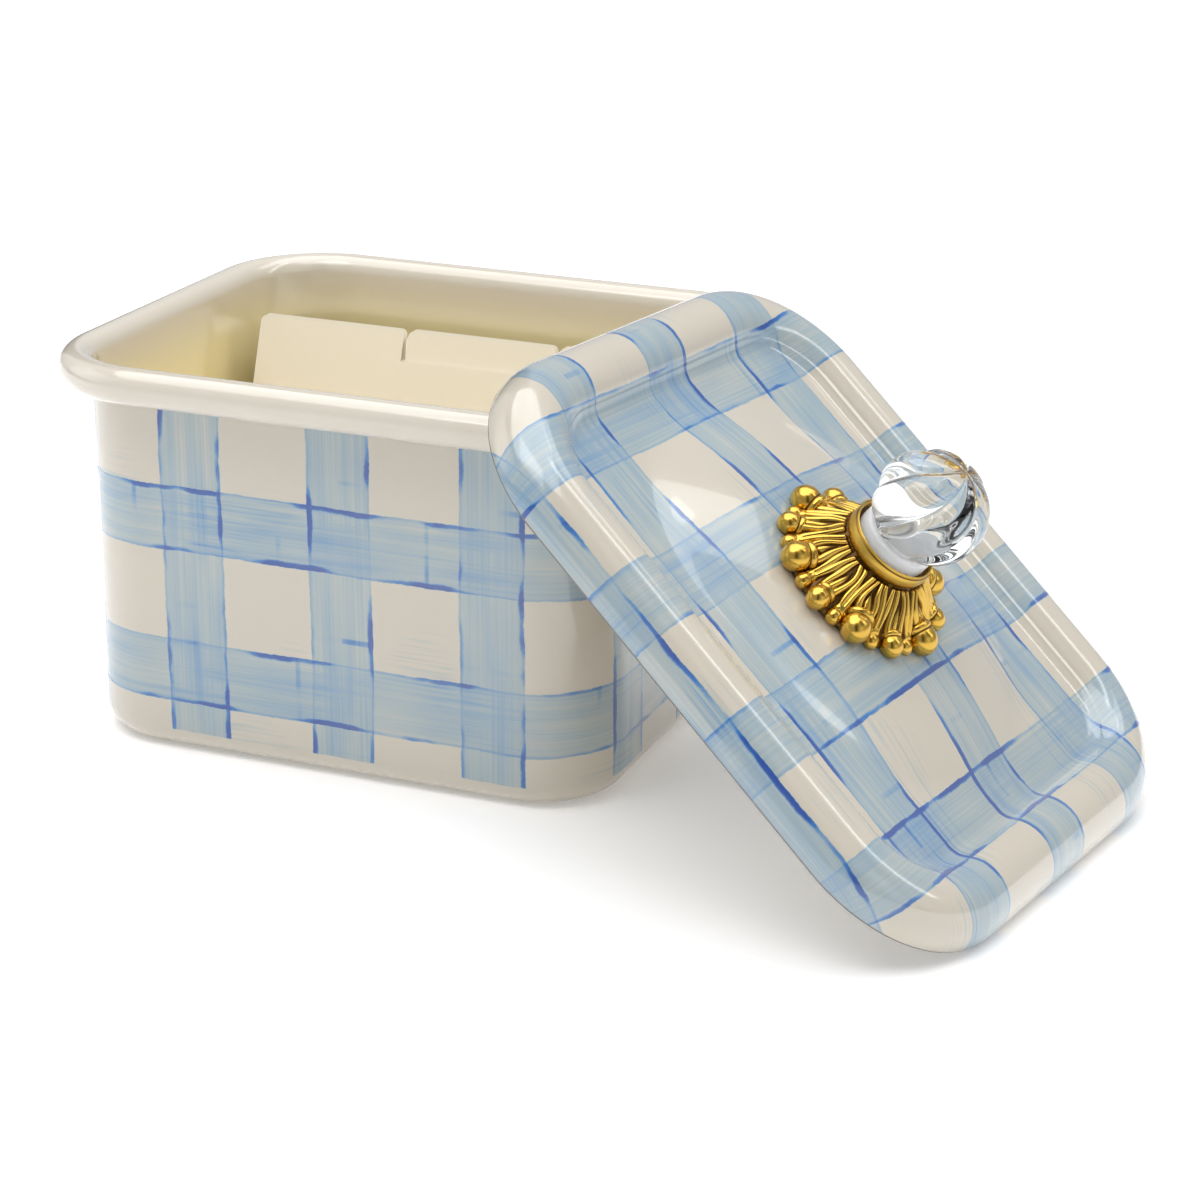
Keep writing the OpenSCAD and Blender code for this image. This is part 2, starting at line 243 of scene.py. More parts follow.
def join_loops(loops, flat=None, ring=False):
    """Quads between neighbouring loops, of shape (rows, columns, 3). With ring the last loop
    joins the first; without it each end is closed by a fan to the loop's middle."""
    rows, columns = loops.shape[:2]
    points = loops.reshape(-1, 3)
    index = np.arange(rows * columns).reshape(rows, columns)
    after = np.roll(index, -1, 1)
    above, above_after = np.roll(index, -1, 0), np.roll(after, -1, 0)
    upto = rows if ring else rows - 1
    quads = np.stack([index, after, above_after, above], -1)[:upto].reshape(-1, 4)
    if flat is None:
        flat = np.zeros((rows, columns + 1, 2))
    flat_above = np.roll(flat, -1, 0)
    corners = np.stack([flat[:, :-1], flat[:, 1:], flat_above[:, 1:], flat_above[:, :-1]], 2)
    corners = corners[:upto].reshape(-1, 4, 2)
    fans, fan_corners = np.zeros((0, 3), int), np.zeros((0, 3, 2))
    if not ring:
        points = np.vstack([points, loops[0].mean(0), loops[-1].mean(0)])
        first, last = rows * columns, rows * columns + 1
        fans = np.vstack([
            np.column_stack([np.full(columns, first), after[0], index[0]]),
            np.column_stack([np.full(columns, last), index[-1], after[-1]])])
        ends = [np.broadcast_to(flat[k, :-1].mean(0), (columns, 2)) for k in (0, -1)]
        fan_corners = np.vstack([np.stack([ends[0], flat[0, 1:], flat[0, :-1]], 1),
                                 np.stack([ends[1], flat[-1, :-1], flat[-1, 1:]], 1)])
    volume = enclosed(points, quads) + (enclosed(points, fans) if len(fans) else 0)
    if volume < 0:
        quads, corners = quads[:, ::-1], corners[:, ::-1]
        fans, fan_corners = fans[:, ::-1], fan_corners[:, ::-1]
    return points, quads, fans, corners, fan_corners


def mesh_of(name, *shells, **numbers):
    """One mesh of several closed shells. Each number is one value for each point."""
    points, faces, corners, start = [], [], [], 0
    for shell in shells:
        points.append(shell[0])
        faces += (shell[1] + start).tolist() + (shell[2] + start).tolist()
        corners += [shell[3].reshape(-1, 2), shell[4].reshape(-1, 2)]
        start += len(shell[0])
    mesh = bpy.data.meshes.new(name)
    mesh.from_pydata(np.vstack(points), [], faces)
    mesh.polygons.foreach_set("use_smooth", np.ones(len(faces), bool))
    layer = mesh.uv_layers.new(name="UVMap")
    layer.data.foreach_set("uv", np.vstack(corners).astype(np.float32).ravel())
    for key, values in numbers.items():
        mesh.attributes.new(key, "FLOAT", "POINT").data.foreach_set(
            "value", np.asarray(values, np.float32))
    mesh.update()
    return mesh


def arc(centre, radius, start, end, steps):
    """Points on a circle: centre + radius (cos a, sin a), from start to end in degrees."""
    a = np.radians(np.linspace(start, end, steps + 1))
    return np.asarray(centre) + radius * np.column_stack([np.cos(a), np.sin(a)])


def lengths(profile):
    """How far each point lies along a line of points."""
    return np.concatenate([[0], np.cumsum(np.linalg.norm(np.diff(profile, axis=0), axis=1))])


print("loops can be joined")

# %% [markdown]
# ## Once round the box
# Wall, rim and lid all follow a rounded rectangle. It is kept as points with the outward direction
# at each. To step inwards by some distance is then one subtraction, and a corner keeps its centre,
# as a corner of pressed sheet does.

# %% Rounded rectangle
CORNER_STEPS, SIDE_STEPS = 28, 44


def round_loop(half_l, half_w, radius):
    """Points and outward directions: a quarter circle at each corner, then the straight side."""
    points, outward = [], []
    centres = [(x * (half_l - radius), y * (half_w - radius))
               for x, y in ((1, 1), (-1, 1), (-1, -1), (1, -1))]
    for k, centre in enumerate(centres):
        corner = arc((0, 0), 1, 90 * k, 90 * k + 90, CORNER_STEPS)
        step = np.linspace(0, 1, SIDE_STEPS + 1)[1:-1, None]
        side = np.array(centre) * (1 - step) + np.array(centres[(k + 1) % 4]) * step
        points += [centre + radius * corner, side + radius * corner[-1]]
        outward += [corner, np.broadcast_to(corner[-1], side.shape)]
    return np.vstack(points), np.vstack(outward)


def carry(loop, outward, section):
    """Carries a section of (inset, height, share) rows round the loop: (point - outward * inset)
    * share. A share below 1 draws the loop in towards the middle of a flat floor."""
    inset, height, share = section.T[:, :, None]
    x, y = ((loop[:, k] - outward[:, k] * inset) * share for k in (0, 1))
    return np.stack([x, y, np.broadcast_to(height, x.shape)], -1)


print("a loop has", 4 * (CORNER_STEPS + SIDE_STEPS), "points")

# %% [markdown]
# ## The enamel
# Vitreous enamel is glass on steel: a warm cream ground, hard gloss, and glaze that was brushed on
# by hand and fired. Each stroke is thin in its middle, streaked by the bristles, and darker at its
# edges where the wet glaze pooled. Broad strokes cross here as a plaid, darker where two lie over
# each other, round windows of plain cream. A place on the surface is given as two lengths, along
# and across the strokes, so the same strokes bend round corners without stretching. Noise along a
# stroke is counted in features to the metre: a few make it wander, hundreds make its edge ragged.

# %% Strokes of glaze
PITCH_NEAR = 47 * MM
STROKE_W = 20 * MM
WANDER, TREMBLE, RAGGED = 2.2 * MM, 0.8 * MM, 0.45 * MM
BRISTLES, BUNDLES, CLOUDS = 1150, 240, 60


def strokes(finish, along, across, pitch, start, seed):
    """Glaze of parallel strokes. Each wanders a little, has bristle streaks along it, is darker
    in a narrow seam inside its edge where pools gather, and shows where the brush was lifted."""
    def own_noise(features, apart):
        """Noise along a stroke that is another one on the next stroke, from -0.5 to 0.5."""
        return finish.noise(along * features, number * apart + seed, seed) - 0.5

    place = (across - start) * (1 / pitch)
    number = place.maths("ROUND")
    slow, quick, ragged = own_noise(24, 5.3), own_noise(170, 3.7), own_noise(650, 2.9)
    off = (place - number) * pitch + slow * WANDER + quick * TREMBLE
    side = off.maths("SIGN")
    off = off + ragged * RAGGED
    inside = STROKE_W / 2 - off.maths("ABSOLUTE")
    body = inside.rise(-0.1 * MM, 0.35 * MM)
    pool = finish.noise(along * 42, number * 3.1 + side * 1.7, seed + 4).rise(0.44, 0.68)
    pooled = 1 - (inside - pool * 0.8 * MM).rise(0.3 * MM, 1.3 * MM)
    seam = inside.rise(-0.1 * MM, 0.25 * MM) * pooled
    lift = along * (1 / pitch) + finish.noise(number * 9.1, seed) * 2
    lift = (lift - lift.maths("ROUND")).maths("ABSOLUTE") * pitch + quick * MM
    patchy = finish.noise(across * 60, along * 30).rise(0.42, 0.7)
    lifted = (1 - lift.rise(0.3 * MM, 1.1 * MM)) * patchy
    bristle = finish.noise(along * 11, across * BRISTLES, seed + 2, 2.0, 0.6)
    bundle = finish.noise(along * 17, across * BUNDLES, seed + 8, 1.0)
    cloud = finish.noise(along * 34, across * CLOUDS, seed + 6, 1.0)
    film = 0.27 + 0.34 * (bristle - 0.5) + 0.3 * (bundle - 0.5) + 0.3 * (cloud - 0.5)
    return body * (film + 0.45 * lifted * pool) + seam * (0.12 + 0.75 * pool)


print("strokes", round(STROKE_W / MM), "mm wide, about", round(PITCH_NEAR / MM), "mm apart")

# %% Plaid
UP_SEED, ROUND_SEED = 1.0, 21.0


def plaid(finish, u, v, pitch_u, pitch_v, start_u, start_v):
    """All the glaze at a place: broad strokes both ways, darker where two cross, and a few dry
    touches of the brush in the cream."""
    broad = strokes(finish, v, u, pitch_u, start_u, UP_SEED)
    crossing = strokes(finish, u, v, pitch_v, start_v, ROUND_SEED)
    laid = broad.maths("MAXIMUM", crossing) + 0.9 * broad * crossing
    bristles = finish.noise(u * 22, v * 900, 80.0, 2.0).rise(0.45, 0.75)
    touched = finish.noise(u * 30, v * 42, 90.0, 0.0).rise(0.58, 0.70)
    return laid + bristles * touched * 0.2


print("windows of plain cream about", round((PITCH_NEAR - STROKE_W) / MM), "mm wide")

# %% Enamel
CREAM = (0.57, 0.52, 0.435)
# The rim's paler cream is painted light: the rim is the wall's own enamel, and it faces up to the
# lamps.
RIM_PAINTED_LIGHT_CREAM = (0.65, 0.595, 0.51)
# The inside's cream is painted light: paler and yellower than the wall's, for the warm light that
# bounces inside the box.
INSIDE_PAINTED_LIGHT_CREAM = (0.89, 0.775, 0.44)
FIRED_CREAM = (0.64, 0.575, 0.46)
SPECK = (0.45, 0.40, 0.32)
BARE_STEEL = (0.10, 0.09, 0.08)
GLAZE = [(0.0, CREAM), (0.26, (0.33, 0.405, 0.43)), (0.45, (0.19, 0.315, 0.45)),
         (0.72, (0.025, 0.165, 0.45)), (1.0, (0.005, 0.06, 0.31))]
ORANGE_PEEL = 0.12 * MM


def enamel(name, paint, pitch_u, pitch_v, start_u, start_v, creams=(), bare=None):
    """Cream enamel with glaze where paint(finish, u, v) is 1, another cream where its own function is
    1, which is painted light, and bare steel where bare is 1."""
    finish = Finish(name, Coat_Weight=1.0, Coat_Roughness=0.045, Coat_IOR=1.5, IOR=1.5)
    u, v = finish.flat_place()
    place = finish.place()
    glaze = plaid(finish, u, v, pitch_u, pitch_v, start_u, start_v) * paint(finish, u, v)
    tone = finish.noise_at(place, 14.0, 3.0)
    speck = finish.noise_at(place, 900.0, 1.0).rise(0.74, 0.8)
    colour = finish.ramp(glaze, GLAZE)
    for cream, where in creams:
        colour = finish.mix(colour, cream, where(finish, u, v))
    colour = finish.mix(colour, FIRED_CREAM, tone.rise(0.35, 0.75) * 0.1)
    colour = finish.mix(colour, SPECK, speck * 0.18)
    rough = 0.13 + 0.1 * finish.noise_at(place, 60.0, 2.0) + 0.12 * glaze.maths("MINIMUM", 1.0)
    if bare:
        edge = finish.attribute(bare)
        colour = finish.mix(colour, BARE_STEEL, edge)
        rough = rough + edge * 0.4
    finish.feed("Base Color", colour)
    finish.feed("Roughness", rough)
    finish.relief(finish.noise_at(place, 45.0, 1.0) + 0.05 * glaze, ORANGE_PEEL)
    return finish.material


print("glaze from cream to blue in", len(GLAZE), "steps")

# %% [markdown]
# ## The tub
# One sheet makes floor, wall and rim: the section runs out under the floor, round the foot's
# fillet, up the wall, curls outwards into the rim, and then comes back along the inside. The
# overall size is measured from the frame, so only the sheet's own sizes are given here.

# %% Tub section
SHEET = 1.2 * MM
RIM_R = 5.45 * MM
RIM_OPEN = 55
FOOT_R = 8 * MM
WALL_CORNER_R = 26 * MM
WALL_ROWS, INNER_FOOT_STEPS = 60, 12
FLOOR_SHARES = np.array([0.08, 0.4, 0.75, 0.97])

_, box_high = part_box("box_shell")
curl_r = RIM_R - SHEET
wall_half_l = box_high.x - RIM_R - curl_r
wall_half_w = box_high.y - RIM_R - curl_r
rim_z = box_high.z - RIM_R


def tub_section():
    """(inset, height, share) rows, out under the floor, up the outside and down the inside."""
    def mirrored(points):
        return np.column_stack([-points[:, 0], points[:, 1]])

    foot = mirrored(arc((-FOOT_R, FOOT_R), FOOT_R, -90, 0, 14))
    wall = np.column_stack([np.zeros(WALL_ROWS), np.linspace(FOOT_R, rim_z, WALL_ROWS + 2)[1:-1]])
    hidden = mirrored(arc((curl_r, rim_z), curl_r, 180, RIM_OPEN - 180, 24))
    shown = mirrored(arc((curl_r, rim_z), RIM_R, RIM_OPEN - 180, 180, 44))
    inner = wall[::-1] + [SHEET, 0]
    inner_foot = mirrored(arc((-FOOT_R, FOOT_R), FOOT_R - SHEET, 0, -90, INNER_FOOT_STEPS))
    line = np.vstack([foot, wall, hidden, shown, inner, inner_foot])
    wide = np.ones(len(FLOOR_SHARES))
    under = np.column_stack([FOOT_R * wide, 0 * wide, FLOOR_SHARES])
    floor = np.column_stack([FOOT_R * wide, SHEET * wide, FLOOR_SHARES[::-1]])
    return np.vstack([under, np.column_stack([line, np.ones(len(line))]), floor])


section = tub_section()
print("tub section of", len(section), "rows; wall", round(2 * wall_half_l / MM, 1), "mm long")

# %% Tub
tub_loop, tub_outward = round_loop(wall_half_l, wall_half_w, WALL_CORNER_R)
tub_points = carry(tub_loop, tub_outward, section)
round_length = lengths(np.vstack([tub_loop, tub_loop[:1]]))
up_length = lengths(section[:, :2])
tub_flat = np.stack(np.meshgrid(round_length, up_length), -1)
tub_mesh = mesh_of("tub", join_loops(tub_points, tub_flat))
link(tub_mesh, "box", "enamel", "box_shell")

# %% Tub enamel
WAVER = 2.4 * MM
GLAZE_STARTS, GLAZE_FULL = 1.5 * MM, 0.9 * MM
SOFT_EDGE = 0.2 * MM
# How far below and above the inner top the painted inside light fades in.
WARM_BEFORE, WARM_AFTER = 7 * MM, 16 * MM
LOWEST_STROKE = 18 * MM

foot_length = FOOT_R * np.pi / 2
wall_top_length = foot_length + rim_z - FOOT_R
inner_top_row = len(section) - len(FLOOR_SHARES) - (INNER_FOOT_STEPS + 1) - WALL_ROWS
inner_top_length = up_length[inner_top_row]
strokes_round = round(round_length[-1] / PITCH_NEAR)


def on_the_wall(finish, u, v):
    """1 on the outer wall, from a wavering line above the foot up to the rim."""
    waver = (finish.noise(u * 90, 5.0) - 0.5) * WAVER
    above_foot = (v + waver).rise(foot_length - GLAZE_STARTS, foot_length - GLAZE_FULL)
    return above_foot * (1 - v.rise(wall_top_length, wall_top_length + SOFT_EDGE))


def on_the_rim(finish, u, v):
    """1 from the wall's top, over the rim and on inwards, where a paler cream is painted light for the
    rim that faces up.
    """
    return v.rise(wall_top_length - SOFT_EDGE, wall_top_length + SOFT_EDGE)


def in_the_box(finish, u, v):
    """1 on the wall's inner side and the floor, rising from just inside the rim. There a paler,
    yellower cream is painted light, for the warm light that bounces inside the box.
    """
    return v.rise(inner_top_length - WARM_BEFORE, inner_top_length + WARM_AFTER)


# On the rim and inside the box the creams are painted light: paler on the rim, which faces up, and
# paler and yellower inside, for the light that bounces there.
tub_mesh.materials.append(enamel(
    "tub_enamel", on_the_wall, round_length[-1] / strokes_round, PITCH_NEAR,
    STROKE_W / 2, foot_length + LOWEST_STROKE,
    creams=[(RIM_PAINTED_LIGHT_CREAM, on_the_rim), (INSIDE_PAINTED_LIGHT_CREAM, in_the_box)]))
print(strokes_round, "strokes round the box, inside from", round(inner_top_length / MM), "mm")

# %% [markdown]
# ## Where the lid leans
# The lid is turned and tilted, and its frame can be read from the knob: the washer below the panel
# and the collar above it share one axis, which is the panel's own direction up. The lid's width is
# level, so it is square to that axis and to the vertical, and its length is square to both. The
# cut edge of the skirt is the lowest that the lid reaches along its own axis.

# %% The lid's own axes
BORDER_R = 11.3 * MM
SKIRT = 2 * MM
DIP = 6.3 * MM


def middle(node):
    """The middle of a node's box, which lies on its axis if the node is turned."""
    low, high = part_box(node)
    return np.array((low + high) / 2)


lid_up = unit(middle("knob_collar") - middle("knob_washer"))
lid_across = unit(np.cross([0, 0, 1], lid_up))
lid_along = np.cross(lid_across, lid_up)
lid_axes = np.array([lid_along, lid_across, lid_up])
in_lid_axes = np.array([v.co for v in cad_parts["lid_shell"].data.vertices]) @ lid_axes.T
lid_length, lid_width = np.ptp(in_lid_axes, axis=0)[:2]
cut_edge = in_lid_axes[:, 2].min()
washer = middle("knob_washer")
panel = washer + lid_up * (cut_edge + SKIRT + BORDER_R - DIP - washer @ lid_up)
cut_z = DIP - BORDER_R - SKIRT


def on_lid(points, height=0.0):
    """From the lid's own axes, with the panel's top at height 0, to the frame."""
    return (points + [0, 0, height]) @ lid_axes + panel


print("lid", [round(x / MM, 1) for x in (lid_length, lid_width)], "mm, tilted",
      round(np.degrees(np.arccos(lid_up[2])), 1), "degrees")

# %% [markdown]
# ## The lid
# Its section runs out from the middle of the panel, climbs through a hollow fillet to the rolled
# border, and ends in a short skirt whose cut edge stays bare. The panel's rows blend from the
# rounded rectangle to the round hole for the screw. The panel is crowned: a low vault runs along
# its middle, as an arc that bends back in a hollow at the foot. The glaze is laid out as if the
# lid were unrolled, so a stroke runs over the border at its true width.

# %% Lid section
STEP_ANGLE = 50
LID_CORNER_R = 41.2 * MM
HOLE_R = 2.2 * MM
PANEL_ROWS, SKIRT_ROWS = 56, 4
EDGE_R = SHEET / 2
CROWN_R, CROWN_HOLLOW_R, CROWN_SLOPE = 170 * MM, 30 * MM, 0.28

fillet_r = DIP / (1 - np.cos(np.radians(STEP_ANGLE))) - BORDER_R
panel_inset = BORDER_R + (BORDER_R + fillet_r) * np.sin(np.radians(STEP_ANGLE))
crown_spine = (lid_length - lid_width) / 2
crown_half_w = (CROWN_R + CROWN_HOLLOW_R) * CROWN_SLOPE
crown_h = (CROWN_R + CROWN_HOLLOW_R) * (1 - np.sqrt(1 - CROWN_SLOPE ** 2))
vault_reach = CROWN_R * CROWN_SLOPE


def crown(x, y):
    """Height of the crown: two arcs over the distance from a spine along the lid."""
    r = np.minimum(np.hypot(np.clip(np.abs(x) - crown_spine, 0, None), y), crown_half_w)
    vault = crown_h - CROWN_R + np.sqrt(CROWN_R ** 2 - np.minimum(r, vault_reach) ** 2)
    hollow = CROWN_HOLLOW_R - np.sqrt(CROWN_HOLLOW_R ** 2
                                      - np.minimum(crown_half_w - r, CROWN_HOLLOW_R) ** 2)
    return np.where(r < vault_reach, vault, hollow)


def lid_side(depth):
    """(inset, height) from the panel's edge to the skirt, for a surface that lies depth below
    the outside: a fillet, then the rolled border, then the skirt."""
    fillet = arc((panel_inset, fillet_r), fillet_r + depth, 270, 270 - STEP_ANGLE, 14)
    border = arc((BORDER_R, DIP - BORDER_R), BORDER_R - depth, 90 - STEP_ANGLE, 180, 36)
    down = np.linspace(border[-1, 1], cut_z + EDGE_R, SKIRT_ROWS + 1)[1:]
    return np.vstack([fillet, border, np.column_stack([np.full(SKIRT_ROWS, depth), down])])


outside, underside = lid_side(0), lid_side(SHEET)
cut = arc((EDGE_R, cut_z + EDGE_R), EDGE_R, 180, 360, 6)[1:-1]
side = np.vstack([outside, cut, underside[::-1]])
print("lid side of", len(side), "rows, fillet", round(fillet_r / MM, 2), "mm, crown over",
      round(crown_half_w / MM, 1), "mm")

# %% Lid
def panel_rows(edge, depth, out):
    """Rows between the panel's edge and the screw's hole, raised by the crown: each is a mix of
    the two loops."""
    t = np.linspace(0, 1, PANEL_ROWS + 1)[:, None, None]
    hole = HOLE_R * edge / np.linalg.norm(edge, axis=1, keepdims=True)
    flat = hole * (1 - t) + edge * t
    rows = np.concatenate([flat, crown(flat[..., :1], flat[..., 1:]) - depth], -1)
    return rows[:-1] if out else rows[-2::-1]


lid_loop, lid_outward = round_loop(lid_length / 2, lid_width / 2, LID_CORNER_R)
edge_loop = lid_loop - lid_outward * panel_inset
side_points = carry(lid_loop, lid_outward, np.column_stack([side, np.ones(len(side))]))
upper, lower = panel_rows(edge_loop, 0, True), panel_rows(edge_loop, SHEET, False)
lid_points = np.concatenate([upper, side_points, lower])
side_flat = edge_loop + lid_outward * lengths(side)[:, None, None]
lower_flat = side_flat[-1] + (edge_loop - lower[..., :2])
lid_flat = np.concatenate([upper[..., :2], side_flat, lower_flat])
lid_flat = np.concatenate([lid_flat, lid_flat[:, :1]], 1)
row_number = np.arange(len(lid_points))
first_cut = PANEL_ROWS + len(outside)
is_cut = (row_number >= first_cut - 1) & (row_number <= first_cut + len(cut))
columns = len(lid_loop)
lid_mesh = mesh_of("lid", join_loops(on_lid(lid_points), lid_flat, ring=True),
                   bare_edge=np.repeat(is_cut, columns),
                   painted=np.repeat(row_number < first_cut, columns))
link(lid_mesh, "lid", "enamel", "lid_shell")
lid_mesh.materials.append(enamel(
    "lid_enamel", lambda finish, u, v: finish.attribute("painted"), PITCH_NEAR, PITCH_NEAR,
    PITCH_NEAR / 2, 0.0, bare="bare_edge"))

# %% [markdown]
# ## Brass
# The rosette is cast and polished: bright on the ridges, and dark brown in the hollows, which is
# painted shade. The mesh itself says how deep each point lies, so the finish reads that number and
# needs no picture.

# %% Brass finish
BRIGHT_BRASS = (0.69, 0.44, 0.078)
DULL_BRASS = (0.565, 0.335, 0.046)
# The darkest brass is painted shade for the hollows.
BRASS_PAINTED_SHADE = (0.07, 0.024, 0.003)


def brass(name, polish):
    """Polished brass, browner and duller where the mesh's depth is near 1: the brown is painted shade.
    """
    finish = Finish(name, Metallic=1.0, Coat_Weight=0.25, Coat_Roughness=0.08)
    depth = finish.attribute("depth")
    place = finish.place()
    cloud = finish.noise_at(place, 160.0, 3.0)
    bright = finish.mix(BRIGHT_BRASS, DULL_BRASS, cloud)
    finish.feed("Base Color", finish.mix(bright, BRASS_PAINTED_SHADE, depth.rise(0.2, 1.0) * 0.93))
    finish.feed("Roughness", polish + 0.10 * cloud + 0.25 * depth.rise(0.3, 1.0))
    finish.relief(finish.noise_at(place, 900.0, 2.0), 0.02 * MM)
    return finish.material


print("brass is ready")

# %% [markdown]
# ## The rosette
# Its dome is a height over radius and angle. Twelve sectors repeat, each with a large or middling
# bead at its end and a small bead on each border. In a sector five packed ridges run out from the
# collar: a middle vein, a loop that opens like a leaf and closes at the bead, and border ridges that
# fold together between beads and end in a bud. A ridge is round across, the highest ridge at a place
# wins, and a slow sway keeps them from looking ruled. The beads are turned separately, each seated in
# a cup. The whole casting is cut below to the crown of the panel, so that it sits on it all round.

# %% Ridges of the rosette
COLLAR_R = 13.5 * MM
BEAD_RING_R = 24.8 * MM
ROSETTE_H = 14 * MM
DOME_FOOT_R = 23.2 * MM
DOME_FOOT_Z = 3 * MM
SECTORS = 12
SWAY = 0.10
VEIN_H = 1.3 * MM
BUD_R, BUD_H, BUD_AT = 2.0 * MM, 1.7 * MM, 0.95
ROSETTE_COLUMNS = 720
DOME_ROWS = 76

rosette_z = crown_h - CROWN_R + np.sqrt(CROWN_R ** 2 - BEAD_RING_R ** 2)
print("the rosette's foot is", round(rosette_z / MM, 2), "mm above the panel's edge")


def ridge(distance, half_width, height):
    """A rounded ridge: height * (1 - (distance / half width) squared) ** 0.6, or 0 outside."""
    return height * np.clip(1 - (distance / half_width) ** 2, 0, 1) ** 0.6


def leaves(angle, t, radius):
    """Height of the leaves at an angle, and at t from 0 at the collar to 1 at the beads. A ridge's
    place is a share s of the half sector: 0 on the bead's own line and 1 on the sector's border."""
    sector = 360 / SECTORS
    sway = SWAY * np.sin(2.4 * np.pi * t + 7 * np.radians(angle))
    across = angle / (sector / 2) - 2 * np.round(angle / sector)
    s = np.abs(across + sway * np.cos(np.pi / 2 * across))
    half = np.radians(sector / 2) * radius
    high = np.clip((t - 0.5) / 0.5, 0, 1)
    loop_at = 0.17 + 0.27 * np.sin(np.pi * np.clip(t, 0, 1) ** 1.1)
    border_at = 0.60 + 0.24 * np.sin(np.pi / 2 * np.clip(1.7 * t, 0, 1)) + 0.08 * high
    vein = ridge(s * half, 0.23 * half * np.clip(3 * t - 0.6, 0.01, 1),
                 VEIN_H * np.clip(2.5 * t - 0.6, 0, 1))
    loop = ridge((s - loop_at) * half, 0.21 * half, (1.0 + 0.6 * t) * MM)
    border = ridge((s - border_at) * half, 0.22 * half * (1 - 0.35 * high), (1.0 + 0.35 * t) * MM)
    bud = ridge(np.hypot((1 - s) * half, (t - BUD_AT) * 12 * MM), BUD_R, BUD_H)
    uneven = 1 + 0.12 * np.sin(5 * np.radians(angle) + 1)
    fade = np.clip(t / 0.05, 0, 1) * np.sqrt(np.clip((1.05 - t) / 0.14, 0, 1))
    return np.maximum.reduce([vein, loop, border, bud]) * fade * uneven


# %% Rosette dome
UNDER_COLLAR, COLLAR_SINK = 0.6 * MM, 0.8 * MM
BULGE, SCALLOP = 0.7 * MM, 1.3 * MM


def seated(loops):
    """Cuts the foot to the crown: no height is less than the crown's own at that place."""
    ground = crown(loops[..., 0], loops[..., 1]) - rosette_z
    return np.concatenate([loops[..., :2], np.maximum(loops[..., 2], ground)[..., None]], -1)


def rosette_dome():
    """Rows from the bore over the dome to its foot and back under it, with leaves on the dome."""
    angle = np.linspace(0, 360, ROSETTE_COLUMNS, endpoint=False)
    turn = np.radians(angle)
    t = np.linspace(0, 1, DOME_ROWS)[:, None]
    radius = COLLAR_R - UNDER_COLLAR + (DOME_FOOT_R + UNDER_COLLAR - COLLAR_R) * t
    bulge = BULGE * np.sin(np.pi * t)
    height = ROSETTE_H - COLLAR_SINK + (DOME_FOOT_Z + COLLAR_SINK - ROSETTE_H) * t + bulge
    slope = np.arctan2(ROSETTE_H - DOME_FOOT_Z, DOME_FOOT_R - COLLAR_R)
    lift = leaves(angle[None, :], t, radius)
    scallop = SCALLOP * np.abs(np.cos(np.radians(angle * SECTORS / 2)))
    dome_r = radius + lift * np.sin(slope) + scallop * t ** 3
    dome_z = height + lift * np.cos(slope)
    # In millimetres: down the foot's edge, in under the dome, up the bore and out below the collar
    plain = np.array([[24.8, 1.6], [24.8, 0.5], [24.3, 0.1], [21.8, 0.1], [21.4, 2.0],
                      [12.0, 12.2], [2.2, 12.2], [2.2, 13.9], [12.6, 13.9]]) * MM
    wide = np.ones((1, ROSETTE_COLUMNS))
    all_r = np.vstack([dome_r, plain[:, :1] * wide])
    all_z = np.vstack([dome_z, plain[:, 1:] * wide])
    loops = np.stack([all_r * np.cos(turn), all_r * np.sin(turn), all_z], -1)
    # The grooves between ridges, the underside and the bore get a depth towards 1, which paints shade
    # on the brass.
    between = 1 - np.clip(lift / MM - 0.35, 0, 0.7) / 0.7
    depth = np.vstack([between, 0.8 * np.ones((len(plain), 1)) * wide])
    return join_loops(on_lid(seated(loops), rosette_z), ring=True), depth.ravel()


print("the dome has", DOME_ROWS, "rows of", ROSETTE_COLUMNS, "points")

# %% Beads
BEAD_STEPS, BEAD_ROWS = 40, 24
LARGE_BEAD, MIDDLE_BEAD, SMALL_BEAD = 4.3 * MM, 3.4 * MM, 2.4 * MM
SMALL_RING_R, SMALL_Z = BEAD_RING_R - 0.6 * MM, 2.3 * MM


def bead(angle, size, ring_r, height, tilt=14):
    """A turned bead in a cup, about an axis that points outwards and a little down. Its profile is a
    ball of radius size, a narrow neck, where the painted shade is darkest, and the rounded ring of the
    cup."""
    ball = arc((0, 0), size, 0, 128, BEAD_ROWS) * [1.08, 1]
    cup = arc((-0.80 * size, 0.70 * size), 0.30 * size, 12, 170, 10)
    stem = np.array([[-1.7 * size, 0.6 * size]])
    profile = np.vstack([ball[1:], cup, stem])
    turn = np.radians(np.linspace(0, 360, BEAD_STEPS, endpoint=False))
    a, down = np.radians([angle, tilt])
    axis = np.array([np.cos(a) * np.cos(down), np.sin(a) * np.cos(down), -np.sin(down)])
    across = np.array([-np.sin(a), np.cos(a), 0])
    up = np.cross(axis, across)
    centre = np.array([ring_r * np.cos(a), ring_r * np.sin(a), height])
    spin = np.cos(turn)[:, None] * across + np.sin(turn)[:, None] * up
    loops = centre + profile[:, :1, None] * axis + profile[:, 1:, None] * spin
    # The neck, the cup and the stem get painted shade by this depth.
    depth = np.concatenate([np.zeros(BEAD_ROWS), np.full(len(cup), 0.2), [0.8]])
    depth[BEAD_ROWS - 3:BEAD_ROWS + 2] = 1.0
    joined = join_loops(on_lid(seated(loops), rosette_z))
    return joined, np.concatenate([np.repeat(depth, BEAD_STEPS), [0, 0.8]])


